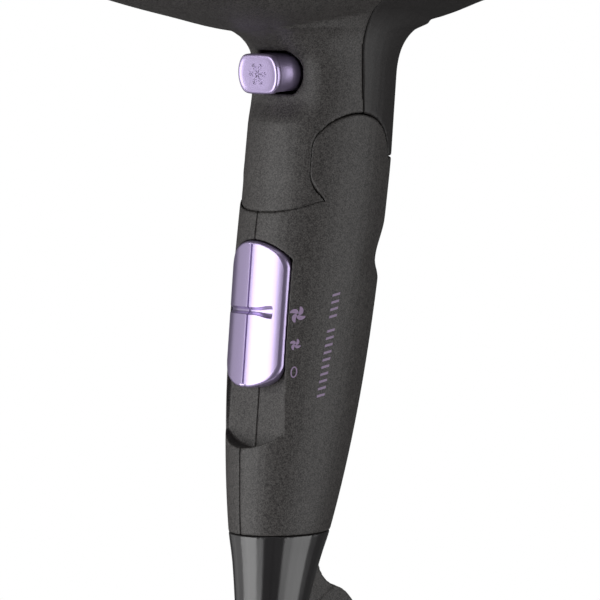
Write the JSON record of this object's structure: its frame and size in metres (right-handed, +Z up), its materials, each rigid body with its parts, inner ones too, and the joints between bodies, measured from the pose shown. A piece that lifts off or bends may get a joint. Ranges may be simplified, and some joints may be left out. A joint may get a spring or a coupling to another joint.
{
  "type": "travel hair dryer",
  "caption": "Compact hair dryer with a forward-folding handle, sliding speed switch, sprung cool-shot button, cord guard and hanging eye.",
  "frame": {"origin": "middle of the outlet collar, on the barrel's axis", "axes": "+X out of the outlet along the barrel, +Z up away from the handle, +Y to the left of a person behind the intake"},
  "size_m": [0.173, 0.0744, 0.2643],
  "materials": {
    "black_body": "fine sparkling soft satin coat",
    "gloss_black": "polished",
    "lilac_metal": "satin metallic lilac",
    "mesh_grey": "woven screen",
    "mica": "matt sheet",
    "wire": "oxidised wire",
    "steel": "bright",
    "dark_nylon": "moulded",
    "switch_cream": "moulded",
    "board_green": "coated board",
    "fan_red": "moulded",
    "module_blue": "potted box"
  },
  "bodies": {
    "housing": {"front_housing": "black_body", "rear_housing": "black_body", "outlet_collar": "gloss_black", "outlet_grille": "gloss_black", "intake_cap": "black_body", "lint_screen": "mesh_grey", "heater_sleeve": "mica", "heater_cross": "mica", "heater_coils": "wire", "thermostat": "switch_cream", "thermal_fuse": "steel", "ion_generator": "module_blue", "motor_can": "steel", "motor_mount": "mica", "cool_shot_switch": "dark_nylon", "hinge_yoke": "dark_nylon", "housing_screws": "steel", "button_spring": "steel"},
    "fan": {"motor_shaft": "steel", "fan_impeller": "fan_red"},
    "cool_shot": {"cool_shot_button": "lilac_metal"},
    "handle": {"hinge_pins": "steel", "wave_washers": "steel", "handle_shell_left": "black_body", "handle_shell_right": "black_body", "speed_switch": "switch_cream", "switch_board": "board_green", "handle_screws": "steel", "cord_clamp": "mica", "cord_guard": "gloss_black", "hanging_loop": "black_body"},
    "slider": {"switch_slider": "lilac_metal", "slider_stem": "dark_nylon"}
  },
  "joints": [
    {"name": "fold_hinge", "type": "hinge", "parent": "housing", "child": "handle", "pos_m": [-0.09, 0, -0.071], "axis": [0, -1, 0], "range_deg": [0, 70]},
    {"name": "speed_slide", "type": "slide", "parent": "handle", "child": "slider", "axis": [0.0936, 0, -0.9956], "range_m": [0, 0.0156]},
    {"name": "cool_shot_press", "type": "slide", "parent": "housing", "child": "cool_shot", "axis": [-0.9986, 0, 0.0523], "range_m": [0, 0.0025], "stiffness_N_per_m": 600, "springref_m": -0.001, "deforming": ["button_spring"]},
    {"name": "fan_spin", "type": "hinge", "parent": "housing", "child": "fan", "pos_m": [-0.136, 0, 0], "axis": [1, 0, 0], "continuous": true}
  ]
}
